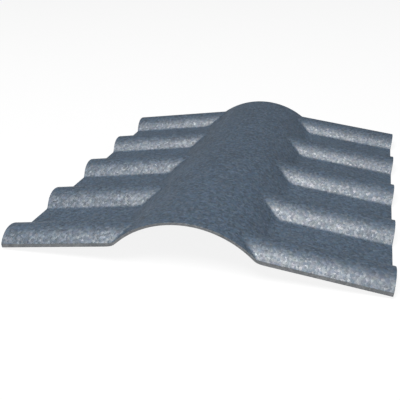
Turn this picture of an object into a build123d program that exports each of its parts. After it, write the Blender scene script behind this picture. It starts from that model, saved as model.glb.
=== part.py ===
# Roof ridge cap moulded in one piece from corrugated sheet.
# A smooth half-round roll runs along the ridge. A wing slopes down from each side of it,
# and five rounded ribs with flat pans between them cross each wing from eave to roll.
# X runs across the ridge, Y along it and Z up. The cap rests on its two eaves at Z = 0.
# All lengths are millimetres and all angles are degrees.

import os
from math import cos, radians, sin, sqrt, tan

from build123d import *

os.makedirs("parts", exist_ok=True)

# Sheet and overall size
sheet = 3.0
rib_pitch = 112.5
rib_count = 5
wing_slope = 7.7
crest_span = 432.0
# From the crest of the first and of the last rib to the cut end beside it
front_lap = 25.0
back_lap = 18.0

# Rib section, measured on the outer face
rib_height = 16.3
crest_radius = 31.0
flank_angle = 49.0
foot_radius = 6.0

# Roll section, measured on the outer face
roll_radius = 110.5
roll_rise = 9.4
flare_radius = 20.0

# Sizes that follow from the ones above
slope = radians(wing_slope)
flank = radians(flank_angle)
grade = tan(slope)
length = (rib_count - 1) * rib_pitch + front_lap + back_lap
# The ribs stand off centre along the ridge, because the two laps differ
rib_centre = (front_lap - back_lap) / 2
wing_length = crest_span / 2 / cos(slope)
# Height at which the lines of the rib crests on the two wings meet over the ridge
apex = wing_length * sin(slope) + (rib_height + sheet) * cos(slope)
roll_centre = apex + roll_rise - roll_radius
# Working blocks run past the finished cap by this much on every side
spare = rib_pitch / 2

# Planes across the ribs, looking down each wing, with their second axis square to it
ridge_point = (0, rib_centre, apex)
right_wing = Plane(ridge_point, x_dir=(0, 1, 0), z_dir=(cos(slope), 0, -sin(slope)))
left_wing = Plane(ridge_point, x_dir=(0, -1, 0), z_dir=(-cos(slope), 0, -sin(slope)))


def rib_section(inset):
    # Section of one rib: round crest and straight flanks, from the crest line downwards
    crest = crest_radius - inset
    flank_x = crest * sin(flank)
    flank_y = -crest_radius + crest * cos(flank)
    base_y = -rib_height - inset - crest / 2
    base_x = flank_x + (flank_y - base_y) / tan(flank)
    with BuildSketch() as section:
        with BuildLine():
            ThreePointArc((-flank_x, flank_y), (0, -inset), (flank_x, flank_y))
            Polyline((flank_x, flank_y), (base_x, base_y), (-base_x, base_y), (-flank_x, flank_y))
        make_face()
    return section.sketch


def envelope(inset):
    # Solid block whose top is the outer face of the cap, moved inwards by the inset.
    roll = roll_radius - inset
    flare = flare_radius + inset
    side = crest_span / 2 + spare + inset
    reach = length / 2 + spare + inset
    floor = -spare - inset
    pan_drop = rib_height + inset
    pan_apex = apex - pan_drop / cos(slope)

    # The flare stands on the pan and touches the roll, so its centre is one flare
    # radius over the pan and the sum of both radii from the centre of the roll.
    gap = pan_apex + flare / cos(slope) - roll_centre
    span = roll + flare
    root = sqrt(span * span * (1 + grade * grade) - gap * gap)
    flare_x = (grade * gap + root) / (1 + grade * grade)
    flare_z = roll_centre + gap - grade * flare_x
    roll_x = flare_x * roll / span
    roll_z = roll_centre + (flare_z - roll_centre) * roll / span
    pan_x = flare_x - flare * sin(slope)
    pan_z = flare_z - flare * cos(slope)
    half_x = (roll_x + pan_x) / 2 - flare_x
    half_z = (roll_z + pan_z) / 2 - flare_z
    stretch = flare / sqrt(half_x * half_x + half_z * half_z)
    mid_x = flare_x + half_x * stretch
    mid_z = flare_z + half_z * stretch
    side_z = pan_apex - grade * side

    with BuildPart() as block:
        # Roll, flares and flat pans, the same all along the ridge
        with BuildSketch(Plane.XZ.offset(-reach)):
            with BuildLine():
                ThreePointArc((-roll_x, roll_z), (0, roll_centre + roll), (roll_x, roll_z))
                ThreePointArc((roll_x, roll_z), (mid_x, mid_z), (pan_x, pan_z))
                Polyline(
                    (pan_x, pan_z),
                    (side, side_z),
                    (side, floor),
                    (-side, floor),
                    (-side, side_z),
                    (-pan_x, pan_z),
                )
                ThreePointArc((-pan_x, pan_z), (-mid_x, mid_z), (-roll_x, roll_z))
            make_face()
        extrude(amount=2 * reach)

        # Ribs, from inside the roll out past the eaves
        for wing in (right_wing, left_wing):
            with BuildSketch(wing):
                with GridLocations(rib_pitch, 1, rib_count, 1):
                    add(rib_section(inset))
            extrude(amount=wing_length + 2 * spare)

        # Square ends, so that every foot line runs out on a flat face
        Box(2 * side, 2 * reach, 4 * side, mode=Mode.INTERSECT)

        # Rounded foot of each rib, along its flanks and round its end on the roll
        feet = block.edges().filter_by(GeomType.LINE)
        feet = feet.filter_by(lambda line: abs(line.tangent_at(0.5).X) > 0.9)
        feet = feet.filter_by(lambda line: abs(line.length - (side - pan_x) / cos(slope)) < 1)
        feet = feet.filter_by(lambda line: abs(line.center().Y) < reach - 1)
        fillet(feet, radius=foot_radius + inset)
    return block.part


# The cap: outer face less the same face moved inwards by the sheet, cut to length and span
with BuildPart() as ridge_cap:
    add(envelope(0))
    add(envelope(sheet), mode=Mode.SUBTRACT)
    # Eaves are cut square to the wings
    eave_x = crest_span / 2
    eave_z = apex - wing_length * sin(slope)
    over_x = spare * sin(slope)
    over_z = spare * cos(slope)
    with BuildSketch(Plane.XZ.offset(-length / 2)):
        with BuildLine():
            Polyline(
                (eave_x + 2 * over_x, eave_z + 2 * over_z),
                (eave_x - over_x, eave_z - over_z),
                (-eave_x + over_x, eave_z - over_z),
                (-eave_x - 2 * over_x, eave_z + 2 * over_z),
                close=True,
            )
        make_face()
    extrude(amount=length, mode=Mode.INTERSECT)

ridge_cap.part.label = "ridge_cap"
export_step(ridge_cap.part, "parts/ridge_cap.step")
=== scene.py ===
# %% [markdown]
# # A roof ridge cap
# This lesson dresses one part, the cap that closes the top of a corrugated roof. A smooth
# half-round roll runs along the ridge, a wing slopes down on each side of it, and five
# rounded ribs cross each wing and run out on the roll. It is one thin moulded sheet.
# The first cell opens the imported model, which holds the cap at its real size. All lengths
# in the scene are metres: X runs across the ridge, Y along it and Z up.

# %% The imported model
from math import cos, radians, sin

import bpy
from mathutils import Matrix, Vector


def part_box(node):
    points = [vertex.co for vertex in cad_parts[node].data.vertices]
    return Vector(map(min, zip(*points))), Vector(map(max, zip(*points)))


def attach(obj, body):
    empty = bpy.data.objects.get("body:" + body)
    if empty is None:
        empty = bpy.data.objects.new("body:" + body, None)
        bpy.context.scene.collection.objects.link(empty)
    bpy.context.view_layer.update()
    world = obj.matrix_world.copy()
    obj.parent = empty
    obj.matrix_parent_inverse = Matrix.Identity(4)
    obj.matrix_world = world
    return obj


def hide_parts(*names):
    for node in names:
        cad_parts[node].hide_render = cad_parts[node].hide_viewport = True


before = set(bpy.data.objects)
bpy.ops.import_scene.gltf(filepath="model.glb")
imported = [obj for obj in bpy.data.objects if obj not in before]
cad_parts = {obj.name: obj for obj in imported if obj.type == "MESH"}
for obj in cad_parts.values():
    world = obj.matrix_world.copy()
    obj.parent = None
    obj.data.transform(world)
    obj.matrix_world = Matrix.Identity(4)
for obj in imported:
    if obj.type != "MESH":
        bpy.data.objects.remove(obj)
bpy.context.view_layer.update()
print("nodes:", sorted(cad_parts))

# %% [markdown]
# The shape of the cap and every material below are built from nodes, small boxes that
# each do one sum or one piece of shading. Adding a node always takes the same three
# actions: make it, set its options, and plug values or other nodes into it. One helper
# does all three and hands back the socket that feeds the next node.


# %% One helper for every node
def add_node(tree, kind, *inputs, out=0, named=None, **settings):
    node = tree.nodes.new(kind)
    for option, choice in settings.items():
        setattr(node, option, choice)
    for key, value in list(enumerate(inputs)) + list((named or {}).items()):
        if isinstance(value, bpy.types.NodeSocket):
            tree.links.new(value, node.inputs[key])
        elif value is not None:
            node.inputs[key].default_value = value
    return node.outputs[out] if len(node.outputs) else node


# %% [markdown]
# Colours are written as painters and web pages write them, in sRGB hex. Blender reckons
# with linear light, so each colour is turned into linear numbers before it is used.


# %% Hex colour to linear light
def linear(hex_colour):
    parts = [int(hex_colour[i : i + 2], 16) / 255 for i in (1, 3, 5)]
    return [v / 12.92 if v <= 0.04045 else ((v + 0.055) / 1.055) ** 2.4 for v in parts] + [1.0]


print("slate grey in linear light:", [round(v, 3) for v in linear("#354657")])

# %% [markdown]
# ## The cap's own shape
# The real cap is pressed from a soft sheet over a mould, so its wall has the same
# thickness everywhere and each slice across the ridge follows one rule. It could be drawn
# face by face, or lofted from curves. Geometry Nodes suit it better, because the rule can
# be written once: take a box with many divisions, and move each of its points to where
# the rule puts it. The top of the box becomes the outer face, the bottom becomes the
# underside, and its four sides become the cut edges.
# The sizes are the cap's real ones, each under the name that the tree shows.

# %% Sizes of the cap
mm = 0.001
cap_sizes = {
    "Length": 493.0 * mm,
    "Crest span": 432.0 * mm,
    "Sheet": 3.0 * mm,
    "Wing slope": radians(7.7),
    "Rib pitch": 112.5 * mm,
    "Front lap": 25.0 * mm,
    "Rib height": 16.3 * mm,
    "Crest radius": 31.0 * mm,
    "Flank angle": radians(49.0),
    "Foot radius": 6.0 * mm,
    "Roll radius": 110.5 * mm,
    "Roll rise": 9.4 * mm,
    "Flare radius": 20.0 * mm,
}
# Divisions of the box on each side of the ridge: over the top of the roll, over its sides
# where the ribs run out, and down the straight wing
roll_steps, runout_steps, wing_steps = 9, 31, 6
slices = 341
half_steps = roll_steps + runout_steps + wing_steps
print("sizes:", len(cap_sizes), "divisions:", 2 * half_steps, "by", slices - 1)

# %% [markdown]
# A tree has its own sockets. Each size gets one with its name, so that anybody can open
# the tree later and pull the cap to another pitch or slope.

# %% Sockets of the tree
cap_tree = bpy.data.node_groups.new("ridge_cap_shape", "GeometryNodeTree")
sockets = cap_tree.interface
sockets.new_socket("Geometry", in_out="OUTPUT", socket_type="NodeSocketGeometry")
size_sockets = {}
for size_name, size_value in cap_sizes.items():
    size_sockets[size_name] = sockets.new_socket(
        size_name, in_out="INPUT", socket_type="NodeSocketFloat"
    )
    size_sockets[size_name].default_value = size_value
finish_socket = sockets.new_socket("Finish", in_out="INPUT", socket_type="NodeSocketMaterial")
size_node = cap_tree.nodes.new("NodeGroupInput")
size = {name: size_node.outputs[name] for name in cap_sizes}
print("sockets:", [s.name for s in sockets.items_tree])

# %% [markdown]
# The box starts one unit long each way. A point's place in it says which part of the cap
# it belongs to: its height gives how far it lies under the outer face, its depth gives
# its place along the ridge, and its width gives its place between the eaves.

# %% The box and each point's place in it
M = "ShaderNodeMath"
box = add_node(cap_tree, "GeometryNodeMeshCube", (1, 1, 1), 2 * half_steps + 1, slices, 2)
place = add_node(cap_tree, "GeometryNodeInputPosition")
place_node = add_node(cap_tree, "ShaderNodeSeparateXYZ", place).node
across, along, up = place_node.outputs
under = add_node(cap_tree, M, 0.5, up, operation="SUBTRACT")
inset = add_node(cap_tree, M, under, size["Sheet"], operation="MULTIPLY")
from_middle = add_node(cap_tree, M, along, size["Length"], operation="MULTIPLY")
side = add_node(cap_tree, M, across, operation="SIGN")
half = add_node(cap_tree, M, across, operation="ABSOLUTE")
share = add_node(cap_tree, M, half, 2.0, operation="MULTIPLY")
print("nodes so far:", len(cap_tree.nodes))

# %% [markdown]
# The angles of the wings and of the ribs' flanks come into nearly every sum, so their
# sines, cosines and tangents are reckoned once.

# %% Slopes of the wings and of the ribs
wing_sin = add_node(cap_tree, M, size["Wing slope"], operation="SINE")
wing_cos = add_node(cap_tree, M, size["Wing slope"], operation="COSINE")
wing_tan = add_node(cap_tree, M, size["Wing slope"], operation="TANGENT")
flank_sin = add_node(cap_tree, M, size["Flank angle"], operation="SINE")
flank_tan = add_node(cap_tree, M, size["Flank angle"], operation="TANGENT")

# %% [markdown]
# A rib has a round crest and two straight flanks. Ping-pong turns the place along the
# ridge into the distance from the nearest crest, which repeats the rib at every pitch.
# From that distance come two drops, one down the round crest and one down the flank, and
# their sum is how far the rib's surface lies under the line of the crests.

# %% Drop of a rib from its crest
half_pitch = add_node(cap_tree, M, size["Rib pitch"], 0.5, operation="MULTIPLY")
half_length = add_node(cap_tree, M, size["Length"], 0.5, operation="MULTIPLY")
from_front = add_node(cap_tree, M, from_middle, half_length, operation="ADD")
from_crest = add_node(cap_tree, M, from_front, size["Front lap"], operation="SUBTRACT")
away = add_node(cap_tree, M, from_crest, half_pitch, operation="PINGPONG")
crest_arc = add_node(cap_tree, M, size["Crest radius"], inset, operation="SUBTRACT")
crest_end = add_node(cap_tree, M, crest_arc, flank_sin, operation="MULTIPLY")
on_crest = add_node(cap_tree, M, away, crest_end, operation="MINIMUM")
crest_turn = add_node(cap_tree, M, on_crest, crest_arc, operation="DIVIDE")
crest_angle = add_node(cap_tree, M, crest_turn, operation="ARCSINE")
crest_cos = add_node(cap_tree, M, crest_angle, operation="COSINE")
crest_high = add_node(cap_tree, M, crest_arc, crest_cos, operation="MULTIPLY")
crest_drop = add_node(cap_tree, M, size["Crest radius"], crest_high, operation="SUBTRACT")
past_crest = add_node(cap_tree, M, away, crest_end, operation="SUBTRACT")
on_flank = add_node(cap_tree, M, past_crest, 0.0, operation="MAXIMUM")
rib_drop = add_node(cap_tree, M, on_flank, flank_tan, crest_drop, operation="MULTIPLY_ADD")
print("nodes so far:", len(cap_tree.nodes))

# %% [markdown]
# Next come the heights that all slices share. The lines of the crests on the two wings
# would meet over the ridge at the apex, and the roll stands a little over that. The flat
# pan between two ribs lies one rib height under the crests.

# %% Heights of the crests, the pans and the roll
half_span = add_node(cap_tree, M, size["Crest span"], 0.5, operation="MULTIPLY")
wing_fall = add_node(cap_tree, M, half_span, wing_tan, operation="MULTIPLY")
wall_depth = add_node(cap_tree, M, size["Rib height"], size["Sheet"], operation="ADD")
apex = add_node(cap_tree, M, wall_depth, wing_cos, wing_fall, operation="MULTIPLY_ADD")
roll_top = add_node(cap_tree, M, apex, size["Roll rise"], operation="ADD")
roll_centre = add_node(cap_tree, M, roll_top, size["Roll radius"], operation="SUBTRACT")
roll_arc = add_node(cap_tree, M, size["Roll radius"], inset, operation="SUBTRACT")
flare_arc = add_node(cap_tree, M, size["Flare radius"], inset, operation="ADD")
pan_drop = add_node(cap_tree, M, size["Rib height"], inset, operation="ADD")
pan_fall = add_node(cap_tree, M, pan_drop, wing_cos, operation="DIVIDE")
pan_apex = add_node(cap_tree, M, apex, pan_fall, operation="SUBTRACT")

# %% [markdown]
# The flare is the hollow curve between roll and pan. It touches both, so its centre lies
# one flare radius over the pan and the sum of both radii from the centre of the roll.
# Those two facts give a quadratic equation, and its root is the place of the centre.
# The flare meets the roll on the line between the two centres, and it meets the pan
# straight under its own centre, square to the wing.

# %% Where the flare touches the roll and the pan
flare_lift = add_node(cap_tree, M, flare_arc, wing_cos, operation="DIVIDE")
flare_apex = add_node(cap_tree, M, pan_apex, flare_lift, operation="ADD")
gap = add_node(cap_tree, M, flare_apex, roll_centre, operation="SUBTRACT")
reach = add_node(cap_tree, M, roll_arc, flare_arc, operation="ADD")
spread = add_node(cap_tree, M, wing_tan, wing_tan, 1.0, operation="MULTIPLY_ADD")
reach_squared = add_node(cap_tree, M, reach, reach, operation="MULTIPLY")
gap_squared = add_node(cap_tree, M, gap, gap, operation="MULTIPLY")
reach_spread = add_node(cap_tree, M, reach_squared, spread, operation="MULTIPLY")
under_root = add_node(cap_tree, M, reach_spread, gap_squared, operation="SUBTRACT")
root = add_node(cap_tree, M, under_root, operation="SQRT")
root_sum = add_node(cap_tree, M, wing_tan, gap, root, operation="MULTIPLY_ADD")
flare_x = add_node(cap_tree, M, root_sum, spread, operation="DIVIDE")
roll_part = add_node(cap_tree, M, roll_arc, reach, operation="DIVIDE")
roll_x = add_node(cap_tree, M, flare_x, roll_part, operation="MULTIPLY")
flare_foot = add_node(cap_tree, M, flare_arc, wing_sin, operation="MULTIPLY")
pan_x = add_node(cap_tree, M, flare_x, flare_foot, operation="SUBTRACT")
print("nodes so far:", len(cap_tree.nodes))

# %% [markdown]
# Points are spread unevenly between ridge and eave. The wing is straight, so a few rows
# do for it. The ribs run out on the sides of the roll in a slanting curve, and the rows
# stand little more than 1 mm apart from there to just past the flare. Each eave is cut
# square to its wing, so the cut moves in towards the ridge as the surface drops from a
# crest to a pan.

# %% Distance of each point from the ridge line
# The close rows start at this share of the roll's half width, and end this far past the flare
close_start, close_past = 0.68, 3 * mm
near_share = roll_steps / half_steps
far_share = (roll_steps + runout_steps) / half_steps
near_x = add_node(cap_tree, M, roll_x, close_start, operation="MULTIPLY")
far_x = add_node(cap_tree, M, pan_x, close_past, operation="ADD")
runout_width = add_node(cap_tree, M, far_x, near_x, operation="SUBTRACT")
surface_drop = add_node(cap_tree, M, rib_drop, pan_drop, operation="MINIMUM")
cut_shift = add_node(cap_tree, M, surface_drop, wing_sin, operation="MULTIPLY")
eave_x = add_node(cap_tree, M, half_span, cut_shift, operation="SUBTRACT")
wing_width = add_node(cap_tree, M, eave_x, far_x, operation="SUBTRACT")
on_top = add_node(cap_tree, "ShaderNodeMapRange", share, 0.0, near_share, 0.0, near_x)
on_runout = add_node(
    cap_tree, "ShaderNodeMapRange", share, near_share, far_share, 0.0, runout_width
)
on_wing = add_node(cap_tree, "ShaderNodeMapRange", share, far_share, 1.0, 0.0, wing_width)
to_wing = add_node(cap_tree, M, on_top, on_runout, operation="ADD")
out_x = add_node(cap_tree, M, to_wing, on_wing, operation="ADD")
print("nodes so far:", len(cap_tree.nodes))

# %% [markdown]
# Without its ribs the cap would be a plain roll with two flared wings. The height of
# that plain form is a sum of three: the round of the roll as far as the flare, the hollow
# of the flare as far as the pan, and the straight fall of the pan after it.

# %% Height of the plain form
x_on_roll = add_node(cap_tree, M, out_x, roll_x, operation="MINIMUM")
roll_ratio = add_node(cap_tree, M, x_on_roll, roll_arc, operation="DIVIDE")
roll_angle = add_node(cap_tree, M, roll_ratio, operation="ARCSINE")
roll_cos = add_node(cap_tree, M, roll_angle, operation="COSINE")
roll_z = add_node(cap_tree, M, roll_arc, roll_cos, roll_centre, operation="MULTIPLY_ADD")
x_past_roll = add_node(cap_tree, M, out_x, roll_x, operation="MAXIMUM")
x_on_flare = add_node(cap_tree, M, x_past_roll, pan_x, operation="MINIMUM")
flare_in = add_node(cap_tree, M, flare_x, x_on_flare, operation="SUBTRACT")
flare_ratio = add_node(cap_tree, M, flare_in, flare_arc, operation="DIVIDE")
flare_angle = add_node(cap_tree, M, flare_ratio, operation="ARCSINE")
flare_cos = add_node(cap_tree, M, flare_angle, operation="COSINE")
start_in = add_node(cap_tree, M, flare_x, roll_x, operation="SUBTRACT")
start_ratio = add_node(cap_tree, M, start_in, flare_arc, operation="DIVIDE")
start_angle = add_node(cap_tree, M, start_ratio, operation="ARCSINE")
start_cos = add_node(cap_tree, M, start_angle, operation="COSINE")
flare_gain = add_node(cap_tree, M, start_cos, flare_cos, operation="SUBTRACT")
flare_z = add_node(cap_tree, M, flare_gain, flare_arc, roll_z, operation="MULTIPLY_ADD")
x_past_flare = add_node(cap_tree, M, out_x, pan_x, operation="SUBTRACT")
x_on_pan = add_node(cap_tree, M, x_past_flare, 0.0, operation="MAXIMUM")
pan_fall_z = add_node(cap_tree, M, x_on_pan, wing_tan, operation="MULTIPLY")
plain_z = add_node(cap_tree, M, flare_z, pan_fall_z, operation="SUBTRACT")
print("nodes so far:", len(cap_tree.nodes))

# %% [markdown]
# A rib's surface keeps its drop under the crest line all the way up the wing. The cap is
# the higher of the two forms at every point. A soft maximum rounds the valley between
# them, as the mould does: widest along the feet of the flanks, where the forms meet at
# the steepest angle, and narrow where a crest runs out on the roll.

# %% Ribs and plain form joined
# Width of the soft maximum for each millimetre of foot radius, and the share of it that
# is left on a crest
foot_softness, crest_softness = 0.62, 0.3
crest_line_fall = add_node(cap_tree, M, out_x, wing_tan, operation="MULTIPLY")
crest_line = add_node(cap_tree, M, apex, crest_line_fall, operation="SUBTRACT")
rib_fall = add_node(cap_tree, M, rib_drop, wing_cos, operation="DIVIDE")
rib_z = add_node(cap_tree, M, crest_line, rib_fall, operation="SUBTRACT")
foot_arc = add_node(cap_tree, M, size["Foot radius"], inset, operation="ADD")
foot_width = add_node(cap_tree, M, foot_arc, foot_softness, operation="MULTIPLY")
foot_share = add_node(
    cap_tree, "ShaderNodeMapRange", away, 0.0, crest_end, crest_softness, 1.0
)
blend_width = add_node(cap_tree, M, foot_width, foot_share, operation="MULTIPLY")
cap_z = add_node(cap_tree, M, rib_z, plain_z, blend_width, operation="SMOOTH_MAX")
cap_x = add_node(cap_tree, M, out_x, side, operation="MULTIPLY")
cap_point = add_node(cap_tree, "ShaderNodeCombineXYZ", cap_x, from_middle, cap_z)
print("nodes so far:", len(cap_tree.nodes))

# %% [markdown]
# The finish differs between the coated outer face, the bare underside and the cut edges.
# Two marks say which is which, and they are stored while the box is still straight: a
# face on the rim of the box is a cut edge, and a face that looks down is the underside.

# %% Marks for the finish, then the box is moved into shape
# A face with its middle farther out than this lies on the outside of the box
rim = 0.4999
rim_x = add_node(cap_tree, "FunctionNodeCompare", half, rim, operation="GREATER_THAN")
half_y = add_node(cap_tree, M, along, operation="ABSOLUTE")
rim_y = add_node(cap_tree, "FunctionNodeCompare", half_y, rim, operation="GREATER_THAN")
on_rim = add_node(cap_tree, "FunctionNodeBooleanMath", rim_x, rim_y, operation="OR")
below = add_node(cap_tree, "FunctionNodeCompare", up, -rim, operation="LESS_THAN")
rim_marked = add_node(
    cap_tree,
    "GeometryNodeStoreNamedAttribute",
    named={"Geometry": box, "Name": "cut_edge", "Value": on_rim},
    data_type="FLOAT",
    domain="FACE",
)
both_marked = add_node(
    cap_tree,
    "GeometryNodeStoreNamedAttribute",
    named={"Geometry": rim_marked, "Name": "underside", "Value": below},
    data_type="FLOAT",
    domain="FACE",
)
shaped = add_node(
    cap_tree, "GeometryNodeSetPosition", named={"Geometry": both_marked, "Position": cap_point}
)
realized = add_node(cap_tree, "GeometryNodeRealizeInstances", shaped)
finished = add_node(
    cap_tree,
    "GeometryNodeSetMaterial",
    named={"Geometry": realized, "Material": size_node.outputs["Finish"]},
)
add_node(cap_tree, "NodeGroupOutput", finished)
print("nodes in the tree:", len(cap_tree.nodes))

# %% [markdown]
# ## The finish
# Fibre cement is a thin board of cement and short fibres, pressed damp over the mould. The
# outer face carries a slate-grey coat with fine mineral grit in it. To the eye that is a
# dark blue-grey with a satin grit: flat parts look plain and softly mottled, and where the
# surface turns to the light the grains flash nearly white. A painted speckle would show
# from all sides alike, so the sparkle here comes from how the grains lie and shine.
# The real grit is about 0.5 to 1 mm. It is drawn at 2.7 mm, because anything finer is
# lost between the pixels of this picture.

# %% Places and grain of the coat
coat = bpy.data.materials.new("slate_grey_gritted_fibre_cement")
coat.use_nodes = True
coat_tree = coat.node_tree
coat_tree.nodes.clear()
grain_size = 2.7 * mm
spot = add_node(coat_tree, "ShaderNodeTexCoord", out=3)
grain_node = add_node(
    coat_tree,
    "ShaderNodeTexVoronoi",
    named={"Vector": spot, "Scale": 1 / grain_size, "Randomness": 1.0},
    feature="F1",
).node
grain_distance, grain_random = grain_node.outputs["Distance"], grain_node.outputs["Color"]
print("grains to a metre:", round(1 / grain_size))

# %% [markdown]
# The coat's own colour changes little from grain to grain. A ramp spreads the grains over
# three close slate greys. Two soft noises let the coat lie a little thicker in one place
# than in another, as it does on a sprayed sheet: a mottle some 4 mm across that changes
# the tone by a fifth, and a slow drift some 60 mm across that changes it by less.

# %% Greys of the coat
grain_value = add_node(coat_tree, "ShaderNodeSeparateColor", grain_random)
coat_ramp_node = add_node(coat_tree, "ShaderNodeValToRGB", grain_value).node
coat_ramp = coat_ramp_node.color_ramp
coat_ramp.interpolation = "LINEAR"
coat_greys = ((0.0, "#2A3947"), (0.5, "#354657"), (1.0, "#3E5164"))
while len(coat_ramp.elements) < len(coat_greys):
    coat_ramp.elements.new(0.5)
for element, (at, grey) in zip(coat_ramp.elements, coat_greys):
    element.position = at
    element.color = linear(grey)
mottle_size, drift_size = 4 * mm, 60 * mm
mottle_swing, drift_swing = 0.2, 0.08
mottle = add_node(
    coat_tree,
    "ShaderNodeTexNoise",
    named={"Vector": spot, "Scale": 1 / mottle_size, "Detail": 1.0, "Roughness": 0.5},
)
drift = add_node(
    coat_tree,
    "ShaderNodeTexNoise",
    named={"Vector": spot, "Scale": 1 / drift_size, "Detail": 2.0, "Roughness": 0.5},
)
mottle_tone = add_node(
    coat_tree, "ShaderNodeMapRange", mottle, 0.25, 0.75, 1 - mottle_swing, 1 + mottle_swing
)
drift_tone = add_node(
    coat_tree, "ShaderNodeMapRange", drift, 0.3, 0.7, 1 - drift_swing, 1 + drift_swing
)
coat_tone = add_node(coat_tree, M, mottle_tone, drift_tone, operation="MULTIPLY")
print("greys of the coat:", [grey for at, grey in coat_greys])

# %% [markdown]
# Crushed slate is never one colour, and a close look finds rosy and greenish grains among
# the blue-grey ones. The colour output of a noise holds three noises in one, and each of
# them shifts one of red, green and blue by a few hundredths. The same shift goes to the
# colour of the shine, because the grains shine through a thin clear binder.

# %% Tints of the grit
tint_size = 5 * mm
tint_share = 0.14
tint_noise = add_node(
    coat_tree,
    "ShaderNodeTexNoise",
    named={"Vector": spot, "Scale": 1 / tint_size, "Detail": 1.0, "Roughness": 0.5},
    out=1,
)
shift = (tint_share,) * 3
plain = (1 - tint_share / 2,) * 3
tint = add_node(
    coat_tree, "ShaderNodeVectorMath", tint_noise, shift, plain, operation="MULTIPLY_ADD"
)
toned_tint = add_node(
    coat_tree, "ShaderNodeVectorMath", named={0: tint, "Scale": coat_tone}, operation="SCALE"
)
coat_colour = add_node(
    coat_tree,
    "ShaderNodeMix",
    1.0,
    named={6: coat_ramp_node.outputs[0], 7: toned_tint},
    data_type="RGBA",
    blend_type="MULTIPLY",
    out=2,
)
print("tints shift each colour by up to", tint_share / 2)

# %% [markdown]
# The underside and the cut edges are bare fibre cement. Bare cement is a flat mid grey,
# a little warmer than the coat, with a soft cloudiness from the damp felt that it was
# pressed on. The marks stored in the mesh choose between the coat and the bare cement.

# %% Colour of the bare cement
cloud_size = 9 * mm
cloud = add_node(
    coat_tree,
    "ShaderNodeTexNoise",
    named={"Vector": spot, "Scale": 1 / cloud_size, "Detail": 5.0, "Roughness": 0.6},
)
bare_greys = ((0.3, "#4A4D50"), (0.75, "#5E6164"))
bare_ramp_node = add_node(coat_tree, "ShaderNodeValToRGB", cloud).node
for element, (at, grey) in zip(bare_ramp_node.color_ramp.elements, bare_greys):
    element.position = at
    element.color = linear(grey)
edge_mark = add_node(coat_tree, "ShaderNodeAttribute", out=2, attribute_name="cut_edge")
under_mark = add_node(coat_tree, "ShaderNodeAttribute", out=2, attribute_name="underside")
bare = add_node(coat_tree, M, edge_mark, under_mark, operation="MAXIMUM")
coated = add_node(coat_tree, M, 1.0, bare, operation="SUBTRACT")
surface_colour = add_node(
    coat_tree,
    "ShaderNodeMix",
    bare,
    named={6: coat_colour, 7: bare_ramp_node.outputs[0]},
    data_type="RGBA",
    out=2,
)
print("greys of the bare cement:", [grey for at, grey in bare_greys])

# %% [markdown]
# The coat follows soft lumps in the sheet, and each grain lies in it at its own slight
# lean. Both are directions added to the surface's normal: the colour of a noise for the
# lumps, and the random colour of each cell for the grains. So every spot catches the lamp
# a little before or after its neighbours. A bump rounds the grains, from the distance to
# the middle of the cell.

# %% Lean and bump of the grains
lump_size = 3 * mm
lump_lean, grain_lean = 0.2, 0.08
bump_strength, bump_depth, cloud_bump = 0.15, 0.5 * mm, 0.3
lumps = add_node(
    coat_tree,
    "ShaderNodeTexNoise",
    named={"Vector": spot, "Scale": 1 / lump_size, "Detail": 1.0, "Roughness": 0.5},
    out=1,
)
middle = (0.5, 0.5, 0.5)
lump_way = add_node(coat_tree, "ShaderNodeVectorMath", lumps, middle, operation="SUBTRACT")
grain_way = add_node(coat_tree, "ShaderNodeVectorMath", grain_random, middle, operation="SUBTRACT")
lump_amount = add_node(coat_tree, M, coated, lump_lean, operation="MULTIPLY")
grain_amount = add_node(coat_tree, M, coated, grain_lean, operation="MULTIPLY")
lump_tilt = add_node(
    coat_tree,
    "ShaderNodeVectorMath",
    named={0: lump_way, "Scale": lump_amount},
    operation="SCALE",
)
grain_tilt = add_node(
    coat_tree,
    "ShaderNodeVectorMath",
    named={0: grain_way, "Scale": grain_amount},
    operation="SCALE",
)
tilt = add_node(coat_tree, "ShaderNodeVectorMath", lump_tilt, grain_tilt, operation="ADD")
face_normal = add_node(coat_tree, "ShaderNodeNewGeometry", out=1)
tilted = add_node(coat_tree, "ShaderNodeVectorMath", face_normal, tilt, operation="ADD")
tilted_normal = add_node(coat_tree, "ShaderNodeVectorMath", tilted, operation="NORMALIZE")
grain_round = add_node(coat_tree, M, 1.0, grain_distance, operation="SUBTRACT")
grain_height = add_node(coat_tree, M, grain_round, coated, operation="MULTIPLY")
rough_height = add_node(
    coat_tree, M, cloud, cloud_bump, grain_height, operation="MULTIPLY_ADD"
)
bumped = add_node(
    coat_tree,
    "ShaderNodeBump",
    named={
        "Strength": bump_strength,
        "Distance": bump_depth,
        "Height": rough_height,
        "Normal": tilted_normal,
    },
)
print("lean of lumps and grains:", lump_lean, grain_lean)

# %% [markdown]
# The coat is a satin acrylic with hard, glassy grit in it, so it shines more than plain
# paint does. Its index of refraction is 1.7, against 1.5 for bare acrylic, and its
# roughness lies round 0.54. The grains differ in two ways. Some are smoother than others,
# and a few are bare of binder and shine about twice as much: a power of the cell's random
# value keeps those few rare.

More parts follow.
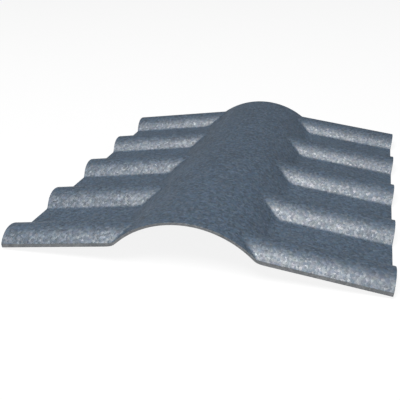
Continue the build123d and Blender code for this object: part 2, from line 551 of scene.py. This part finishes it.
# %% Shader of the sheet
coat_ior = 1.7
smoothest, roughest = 0.48, 0.6
dullest, brightest, rarity = 0.72, 1.5, 2.2
grain_gloss = add_node(coat_tree, "ShaderNodeSeparateColor", grain_random, out=1)
gloss = add_node(coat_tree, "ShaderNodeMapRange", grain_gloss, 0.0, 1.0, smoothest, roughest)
roughness = add_node(coat_tree, M, bare, gloss, operation="MAXIMUM")
grain_luck = add_node(coat_tree, "ShaderNodeSeparateColor", grain_random, out=2)
rare_luck = add_node(coat_tree, M, grain_luck, rarity, operation="POWER")
grain_shine = add_node(coat_tree, "ShaderNodeMapRange", rare_luck, 0.0, 1.0, dullest, brightest)
sheet_shader = add_node(
    coat_tree,
    "ShaderNodeBsdfPrincipled",
    named={
        "Base Color": surface_colour,
        "Roughness": roughness,
        "IOR": coat_ior,
        "Specular IOR Level": grain_shine,
        "Specular Tint": tint,
        "Metallic": 0.0,
        "Normal": bumped,
    },
)
add_node(coat_tree, "ShaderNodeOutputMaterial", sheet_shader)
print("nodes in the finish:", len(coat_tree.nodes))

# %% [markdown]
# ## From tree to mesh
# The tree is hung on an empty mesh as a modifier. A modifier's inputs go by the
# identifiers of the sockets and not by their names, and they are set before Blender
# first works the tree out. The result is then copied into a plain mesh and the modifier
# is thrown away, so that nothing is left to go wrong in another program.

# %% The cap as a plain mesh
starter = bpy.data.objects.new("cap_starter", bpy.data.meshes.new("cap_starter"))
bpy.context.scene.collection.objects.link(starter)
shaping = starter.modifiers.new("Ridge cap shape", "NODES")
shaping.node_group = cap_tree
for size_name, socket in size_sockets.items():
    shaping[socket.identifier] = cap_sizes[size_name]
shaping[finish_socket.identifier] = coat
bpy.context.view_layer.update()
worked_out = starter.evaluated_get(bpy.context.evaluated_depsgraph_get())
cap_mesh = bpy.data.meshes.new_from_object(worked_out)
cap_mesh.name = "pressed_ridge_cap"
bpy.data.objects.remove(starter)
print("corners:", len(cap_mesh.vertices), "faces:", len(cap_mesh.polygons))

# %% [markdown]
# A knife or saw never leaves an edge perfectly sharp. A bevel of 0.3 mm takes the edge off
# all round the cap, and gives the light a line to catch. It only touches edges that turn
# by more than 34 degrees, so the ribs and the roll keep their faces. Smooth shading hides
# how small and flat those faces are.

# %% Edges eased and faces shaded smooth
cap = bpy.data.objects.new("pressed_ridge_cap", cap_mesh)
bpy.context.scene.collection.objects.link(cap)
cap_mesh.shade_smooth()
ease = cap.modifiers.new("Eased edges", "BEVEL")
ease.width = 0.3 * mm
ease.segments = 2
ease.limit_method = "ANGLE"
ease.angle_limit = radians(34)
ease.harden_normals = True
bpy.context.view_layer.update()
eased_mesh = bpy.data.meshes.new_from_object(
    cap.evaluated_get(bpy.context.evaluated_depsgraph_get())
)
cap.modifiers.clear()
cap.data = eased_mesh
triangles = sum(len(face.vertices) - 2 for face in cap.data.polygons)
print("triangles of the cap:", triangles)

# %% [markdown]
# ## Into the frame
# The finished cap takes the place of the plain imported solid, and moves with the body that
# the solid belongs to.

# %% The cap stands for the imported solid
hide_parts("ridge_cap")
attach(cap, "root")
low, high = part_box("ridge_cap")
cap_low = [min(v.co[i] for v in cap.data.vertices) for i in range(3)]
cap_high = [max(v.co[i] for v in cap.data.vertices) for i in range(3)]
print("packed solid:", [round(v, 4) for v in low], [round(v, 4) for v in high])
print("dressed cap: ", [round(v, 4) for v in cap_low], [round(v, 4) for v in cap_high])

# %% [markdown]
# ## The picture
# The camera stands to the right of the ridge line, in front of the cap and a little
# above it, and looks at the front part of the roll. Its place is given by two angles and
# a distance, because those are what a photographer would change, and it leans a little.

# %% Camera
aim = Vector((-2.5, -164.4, 48.4)) * mm
turn, rise, lean = radians(15.2), radians(23.63), radians(-0.6)
distance = 724.7 * mm
back = Vector((sin(turn) * cos(rise), -cos(turn) * cos(rise), sin(rise)))
right = (-back).cross(Vector((0, 0, 1))).normalized()
over = right.cross(-back)
camera_data = bpy.data.cameras.new("picture_camera")
camera_data.sensor_width = 36.0
camera_data.lens = 57.17
camera_data.clip_start = 0.01
camera = bpy.data.objects.new("picture_camera", camera_data)
bpy.context.scene.collection.objects.link(camera)
camera_x = right * cos(lean) + over * sin(lean)
camera_y = over * cos(lean) - right * sin(lean)
turned = Matrix((camera_x, camera_y, back)).transposed().to_4x4()
camera.matrix_world = Matrix.Translation(aim + back * distance) @ turned
bpy.context.scene.camera = camera
print("camera at", [round(v, 3) for v in camera.matrix_world.translation])

# %% [markdown]
# The cap lies on a plain white table. The camera sees the table lit up by itself as
# well as by the lamps, which keeps it near white and leaves the shadow of the cap soft
# and pale. Only camera rays see that extra light, so none of it reaches the cap. The
# table top lies a hair under the eaves, so that no two faces share one place.

# %% Table
table_reach = 6.0
eave_gap = 0.2 * mm
table_glow_share = 0.88
near_side = [(-table_reach, -table_reach, 0), (table_reach, -table_reach, 0)]
far_side = [(table_reach, table_reach, 0), (-table_reach, table_reach, 0)]
floor_mesh = bpy.data.meshes.new("white_table")
floor_mesh.from_pydata(near_side + far_side, [], [(0, 1, 2, 3)])
floor = bpy.data.objects.new("white_table", floor_mesh)
bpy.context.scene.collection.objects.link(floor)
floor.location.z = -eave_gap
table_paint = bpy.data.materials.new("white_table_paint")
table_paint.use_nodes = True
table_tree = table_paint.node_tree
table_tree.nodes.clear()
seen = add_node(table_tree, "ShaderNodeLightPath")
table_white = add_node(table_tree, "ShaderNodeBsdfDiffuse", linear("#EDEDED"))
table_glow = add_node(table_tree, "ShaderNodeEmission", (1, 1, 1, 1), 1.0)
table_mix = add_node(table_tree, M, seen, table_glow_share, operation="MULTIPLY")
table_shader = add_node(table_tree, "ShaderNodeMixShader", table_mix, table_white, table_glow)
add_node(table_tree, "ShaderNodeOutputMaterial", table_shader)
floor_mesh.materials.append(table_paint)
print("floor:", floor.name)

# %% [markdown]
# The world is a pale even light from all round. The camera sees it as white.

# %% World
sky_light, sky_seen_light = 0.15, 1.0
world = bpy.data.worlds.new("studio_white")
bpy.context.scene.world = world
world.use_nodes = True
sky_tree = world.node_tree
sky_tree.nodes.clear()
sky_seen = add_node(sky_tree, "ShaderNodeLightPath")
sky_level = add_node(
    sky_tree, "ShaderNodeMapRange", sky_seen, 0.0, 1.0, sky_light, sky_seen_light
)
sky = add_node(sky_tree, "ShaderNodeBackground", (1, 1, 1, 1), sky_level)
add_node(sky_tree, "ShaderNodeOutputWorld", sky)
print("world:", world.name)

# %% [markdown]
# One large soft box stands high up in front of the cap, a little to the left. Light from
# there falls on the flanks of the ribs that face the camera and skims over the pans. A
# weak second box on the right keeps the right wing from falling into the dark.


# %% Lamps
box_width, box_distance = 1.5, 3.0


def soft_box(name, turn_degrees, rise_degrees, watts):
    lamp_data = bpy.data.lights.new(name, "AREA")
    lamp_data.shape = "SQUARE"
    lamp_data.size = box_width
    lamp_data.energy = watts
    lamp = bpy.data.objects.new(name, lamp_data)
    bpy.context.scene.collection.objects.link(lamp)
    to, high_up = radians(turn_degrees), radians(rise_degrees)
    way = Vector((sin(to) * cos(high_up), -cos(to) * cos(high_up), sin(high_up)))
    lamp.location = way * box_distance
    lamp.rotation_euler = way.to_track_quat("Z", "Y").to_euler()
    return lamp


front_box = soft_box("front_soft_box", turn_degrees=-15, rise_degrees=62, watts=112)
side_box = soft_box("right_fill_box", turn_degrees=60, rise_degrees=35, watts=18)
for lamp in (front_box, side_box):
    print(lamp.name, [round(v, 2) for v in lamp.location], "watts", lamp.data.energy)

# %% [markdown]
# Standard is the view that shows a colour as it was written.

# %% View
bpy.context.scene.view_settings.view_transform = "Standard"
